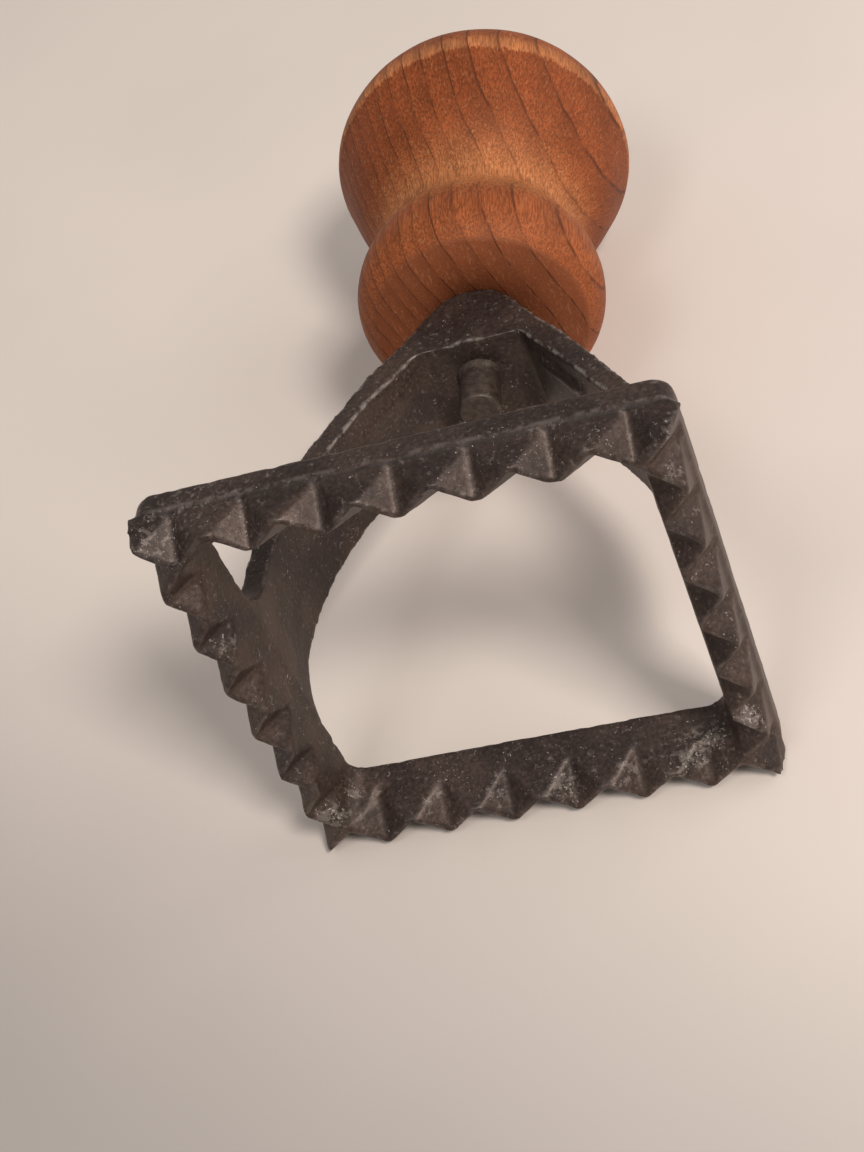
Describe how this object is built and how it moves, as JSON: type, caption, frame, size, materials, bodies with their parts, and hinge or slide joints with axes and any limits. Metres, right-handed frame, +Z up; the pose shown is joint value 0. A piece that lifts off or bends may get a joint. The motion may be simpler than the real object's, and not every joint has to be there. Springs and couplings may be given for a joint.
{
  "type": "ravioli stamp cutter",
  "caption": "Square fluted ravioli and pastry stamp: a cast zigzag cutting frame with an arched yoke, a turned wooden palm handle and a steel stud that joins them.",
  "frame": {"origin": "On the table, under the middle of the tool's bounding box, as the tool lies on its two lower corner teeth and on the rim of the knob", "axes": "+X runs along the side of the cutting square, +Y from the cutting edge towards the knob, and +Z up from the table. The handle's own axis leans 5.2 degrees nose up from +Y, because the square is wider than the knob"},
  "size_m": [0.0674, 0.1218, 0.0665],
  "materials": {
    "cast_metal": "dull grey-brown cast surface, worn brighter on the edges, with pale oxide spots",
    "beech": "old waxed beech, orange-brown, satin",
    "steel": "turned steel, dulled with age"
  },
  "bodies": {
    "root": {"cutter_frame": "cast_metal", "handle": "beech", "handle_stud": "steel"}
  },
  "joints": []
}
